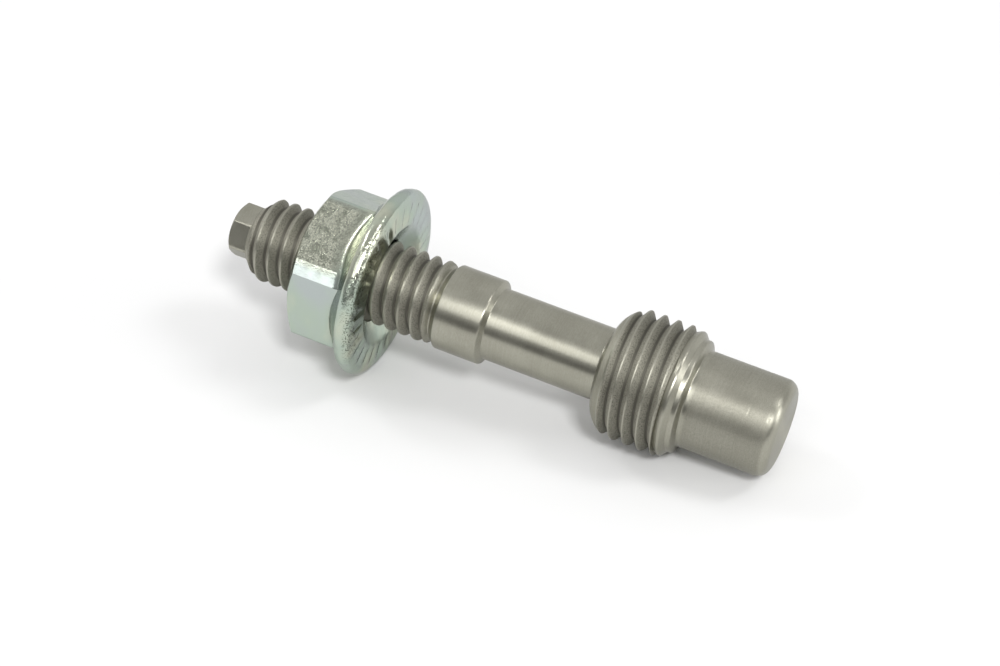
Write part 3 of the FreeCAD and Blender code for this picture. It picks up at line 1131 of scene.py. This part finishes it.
@dataclass(frozen=True)
class ZincFinish:
    """Bright zinc plating over a forged surface: pale blue-green with yellow and violet casts.

    One flat carries scuff marks and dull spots, and its colour there is lightened as a painted sheen.
    Near-black specks lie near the rim on its near side. Noises, bumps and bands are given as in the stainless
    finish; a window's rise and fall are shares of a turn about the axis.
    """

    green: Colour = (0.44, 0.515, 0.437)
    silver: Colour = (0.555, 0.58, 0.47)
    violet: Colour = (0.45, 0.495, 0.485)
    # Lighter colour of the top front flat: its scuff marks and a painted sheen that brightens it.
    scuff_sheen_colour: Colour = (0.74, 0.76, 0.63)
    spot: Colour = (0.27, 0.29, 0.23)
    # Near-black specks near the rim.
    scale: Colour = (0.05, 0.05, 0.04)
    cast: Pair = (210.0, 3.0)
    mottle: Pair = (1700.0, 5.0)
    speckle: Pair = (8500.0, 4.0)
    cast_places: tuple[float, float, float] = (0.36, 0.5, 0.62)
    # Turns and stations of the top front flat with scuff marks and painted sheen.
    scuff_sheen_rise: Band = (0.0, 0.012)
    scuff_sheen_fall: Band = (0.14, 0.16)
    scuff_sheen_end: Spread = (5.0, 6.2, 1.0, 0.0)
    dull_share: Spread = (0.17, 0.3, 0.9, 0.0)
    rim: Band = (7.2, 9.2)
    rim_rise: Band = (0.02, 0.08)
    rim_fall: Band = (0.27, 0.34)
    scaled: Band = (7.7, 9.4)
    scale_share: Spread = (0.42, 0.48, 0.85, 0.0)
    roughness: Spread = (0.3, 0.7, 0.25, 0.13)
    rolled_height: Spread = (0.42, 0.6, 0.15, 0.9)
    scuff_height: Spread = (0.0, 1.0, 0.06, 1.0)
    cast_bump: Pair = (0.3, 0.0003)
    mottle_bump: Pair = (0.2, 0.0001)
    speckle_bump: Pair = (0.8, 0.00004)
    edge: float = 0.7

    def material(self) -> bpy.types.Material:
        """Build the material.

        Returns:
            The material.
        """
        nodes = MaterialNodes("zinc_plating")
        place = nodes.place()
        profile = nodes.layer(PROFILE_LAYER)
        parts = nodes.add("ShaderNodeSeparateXYZ")
        nodes.join(nodes.add("ShaderNodeUVMap", uv_map=MAP_LAYER).outputs[0], parts.inputs[0])
        turned = parts.outputs[0]
        cast = nodes.noise(place, self.cast)
        mottle = nodes.noise(place, self.mottle)
        speckle = nodes.noise(place, self.speckle)
        # The top front flat: scuff marks, dull spots and a lighter colour there as a painted sheen.
        scuff_sheen_flat = nodes.window(turned, self.scuff_sheen_rise, self.scuff_sheen_fall)
        scuff_sheen_flat = nodes.times(scuff_sheen_flat, nodes.spread(profile, self.scuff_sheen_end))
        colour = nodes.ramp(cast, self.cast_places, (self.violet, self.green, self.silver))
        dull = nodes.times(nodes.spread(nodes.times(mottle, speckle), self.dull_share), scuff_sheen_flat)
        colour = nodes.mixed(scuff_sheen_flat, colour, self.scuff_sheen_colour)
        colour = nodes.mixed(dull, colour, self.spot)
        rim = nodes.between(profile, self.rim)
        rim = nodes.times(rim, nodes.window(turned, self.rim_rise, self.rim_fall))
        # Near-black specks near the rim on its near side, from a speckle noise.
        scale = nodes.times(rim, nodes.spread(speckle, self.scale_share))
        scale = nodes.times(scale, nodes.between(profile, self.scaled))
        nodes.feed("Base Color", nodes.mixed(scale, colour, self.scale))
        nodes.feed("Roughness", nodes.spread(mottle, self.roughness))
        normal = nodes.bump(cast, self.cast_bump)
        normal = nodes.bump(mottle, self.mottle_bump, normal)
        rolled = nodes.times(rim, nodes.spread(mottle, self.rolled_height))
        height = nodes.plus(nodes.spread(scuff_sheen_flat, self.scuff_height), rolled)
        height = nodes.times(speckle, height)
        nodes.feed("Normal", nodes.bump(height, self.speckle_bump, normal))
        nodes.shader.inputs["Metallic"].default_value = 1.0
        nodes.shader.inputs["Specular Tint"].default_value = (self.edge, self.edge, self.edge, 1.0)
        return nodes.material


def direction(azimuth: float, elevation: float) -> Vector:
    """Unit vector towards a viewer: azimuth 0 stands in front, at -Y, and 90 at +X."""
    turn, rise = math.radians(azimuth), math.radians(elevation)
    return Vector((math.sin(turn) * math.cos(rise), -math.cos(turn) * math.cos(rise), math.sin(rise)))


@dataclass(frozen=True)
class Lamp:
    """A rectangular area light that looks at the middle of the floor under the stud.

    Attributes:
        name: what it does.
        azimuth: where it stands round the stud, as the camera's azimuth is counted.
        elevation: how high it stands.
        distance: how far off, in metres.
        width: side along the floor, in metres.
        height: other side, in metres.
        radiance: brightness of its face, where 1 is white.
    """

    name: str
    azimuth: float
    elevation: float
    distance: float
    width: float
    height: float
    radiance: float

    def place(self) -> None:
        """Add the light to the scene."""
        back = direction(self.azimuth, self.elevation)
        data = bpy.data.lights.new(self.name, "AREA")
        data.shape = "RECTANGLE"
        data.size = self.width
        data.size_y = self.height
        data.energy = self.radiance * math.pi * self.width * self.height
        made = linked(self.name, data)
        made.location = back * self.distance
        made.rotation_euler = (-back).to_track_quat("-Z", "Y").to_euler()


@dataclass(frozen=True)
class Studio:
    """A white floor, plain soft light and the camera at the photograph's angle.

    Tones are shares of white. The camera aims beside a station of the stud's axis, moved to the right and
    up, in millimetres, and stands at its depth in front of it.
    """

    azimuth: float = 24.4
    elevation: float = 39.15
    lens: float = 87.0
    sensor: float = 36.0
    clip: Band = (0.01, 10.0)
    aim_station: float = 21.66
    aim_right: float = 1.31
    aim_up: float = 0.03
    depth: float = 164.4
    floor_side: float = 2.4
    floor_roughness: float = 0.9
    floor_tone: float = 0.72
    paper_tone: float = 0.76
    back_tone: float = 0.8
    top_tone: float = 0.41
    dark_tone: float = 0.19
    dark_top: float = 0.36
    dark_fade: float = 0.1
    near_reach: Band = (-0.5, 0.35)
    sky_reach: Band = (-0.6, 0.2)
    lamps: tuple[Lamp, ...] = (
        Lamp("key", 40.0, 49.0, 1.5, 0.27, 0.27, 56.0),
        Lamp("front_box", -6.0, 44.0, 0.8, 0.66, 0.34, 1.85),
        Lamp("left_box", -93.0, 46.0, 0.8, 0.18, 0.18, 7.5),
        Lamp("right_box", 98.0, 15.0, 0.8, 0.24, 0.4, 5.0),
        Lamp("back_box", 112.0, 54.0, 1.2, 0.3, 0.3, 9.0),
    )

    def build(self, axis: StudAxis) -> None:
        """Place the floor, the lights and the camera.

        Args:
            axis: the stud's axis, which the camera aims at.
        """
        self.floor()
        self.world()
        for lamp in self.lamps:
            lamp.place()
        self.camera(axis)

    def floor(self) -> None:
        """A flat sheet at height zero that keeps the stud's shadow.

        The camera, mirror reflections and light that passes through see the paper's tone, and all other
        light meets the floor's own tone.
        """
        half = self.floor_side / 2
        mesh = bpy.data.meshes.new("floor")
        corners = [(-half, -half, 0), (half, -half, 0), (half, half, 0), (-half, half, 0)]
        mesh.from_pydata(corners, [], [(0, 1, 2, 3)])
        nodes = MaterialNodes("white_paper")
        path = nodes.add("ShaderNodeLightPath")
        seen = nodes.maths("MAXIMUM", path.outputs["Is Camera Ray"], path.outputs["Is Glossy Ray"])
        seen = nodes.maths("MAXIMUM", seen, path.outputs["Is Transmission Ray"])
        plain = nodes.add("ShaderNodeRGB")
        plain.outputs[0].default_value = (self.floor_tone, self.floor_tone, self.floor_tone, 1.0)
        paper = (self.paper_tone, self.paper_tone, self.paper_tone)
        nodes.feed("Base Color", nodes.mixed(seen, plain.outputs[0], paper))
        nodes.shader.inputs["Roughness"].default_value = self.floor_roughness
        nodes.shader.inputs["Specular IOR Level"].default_value = 0.0
        mesh.materials.append(nodes.material)
        linked("floor", mesh)

    def world(self) -> None:
        """Soft light from all round: bright behind, plain overhead, and dark low down on the near side.

        How near a direction lies to the viewer is its share along the floor towards the camera. The sky
        runs from its back tone to its top tone with that share, and low directions on the near side fade
        to the dark tone.
        """
        world = bpy.data.worlds.new("studio")
        bpy.context.scene.world = world
        world.use_nodes = True
        nodes = Nodes(world.node_tree)
        output = nodes.add("ShaderNodeOutputWorld")
        glow = nodes.add("ShaderNodeBackground")
        place = nodes.place("Generated")
        parts = nodes.add("ShaderNodeSeparateXYZ")
        nodes.join(place, parts.inputs[0])
        towards = nodes.add("ShaderNodeVectorMath", operation="DOT_PRODUCT")
        nodes.join(place, towards.inputs[0])
        towards.inputs[1].default_value = direction(self.azimuth, 0.0)
        near = nodes.spread(towards.outputs["Value"], (*self.near_reach, 0.0, 1.0))
        sky = nodes.spread(towards.outputs["Value"], (*self.sky_reach, self.back_tone, self.top_tone))
        low = nodes.spread(parts.outputs["Z"], (self.dark_top - self.dark_fade, self.dark_top, 1.0, 0.0))
        drop = nodes.times(nodes.times(low, near), self.top_tone - self.dark_tone)
        nodes.join(nodes.maths("SUBTRACT", sky, drop), glow.inputs["Color"])
        nodes.join(glow.outputs["Background"], output.inputs["Surface"])

    def camera(self, axis: StudAxis) -> None:
        """Stand the camera so that the aimed point of the axis lies where the photograph shows it.

        Args:
            axis: the stud's axis.
        """
        back = direction(self.azimuth, self.elevation)
        data = bpy.data.cameras.new("camera")
        data.lens = self.lens
        data.sensor_width = self.sensor
        data.clip_start, data.clip_end = self.clip
        made = linked("camera", data)
        turn = (-back).to_track_quat("-Z", "Y")
        right = turn @ Vector((1.0, 0.0, 0.0))
        up = turn @ Vector((0.0, 1.0, 0.0))
        aim = Vector(axis.at(self.aim_station))
        made.location = aim + back * self.depth * MM - right * self.aim_right * MM - up * self.aim_up * MM
        made.rotation_euler = turn.to_euler()
        bpy.context.scene.camera = made


def main() -> None:
    """Build the stud, the nut and the studio in order."""
    logging.basicConfig(level=logging.INFO)
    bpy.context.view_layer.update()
    bpy.context.scene.view_settings.view_transform = "Standard"
    axis = StudAxis.from_frame()
    for piece in (TurnedStud(), FlangeNut()):
        made = piece.build(axis)
        LOG.info("%s: %d faces", made.name, len(made.data.polygons))
    studio = Studio()
    studio.build(axis)
    LOG.info("studio: %d lamps", len(studio.lamps))


if __name__ == "__main__":
    main()
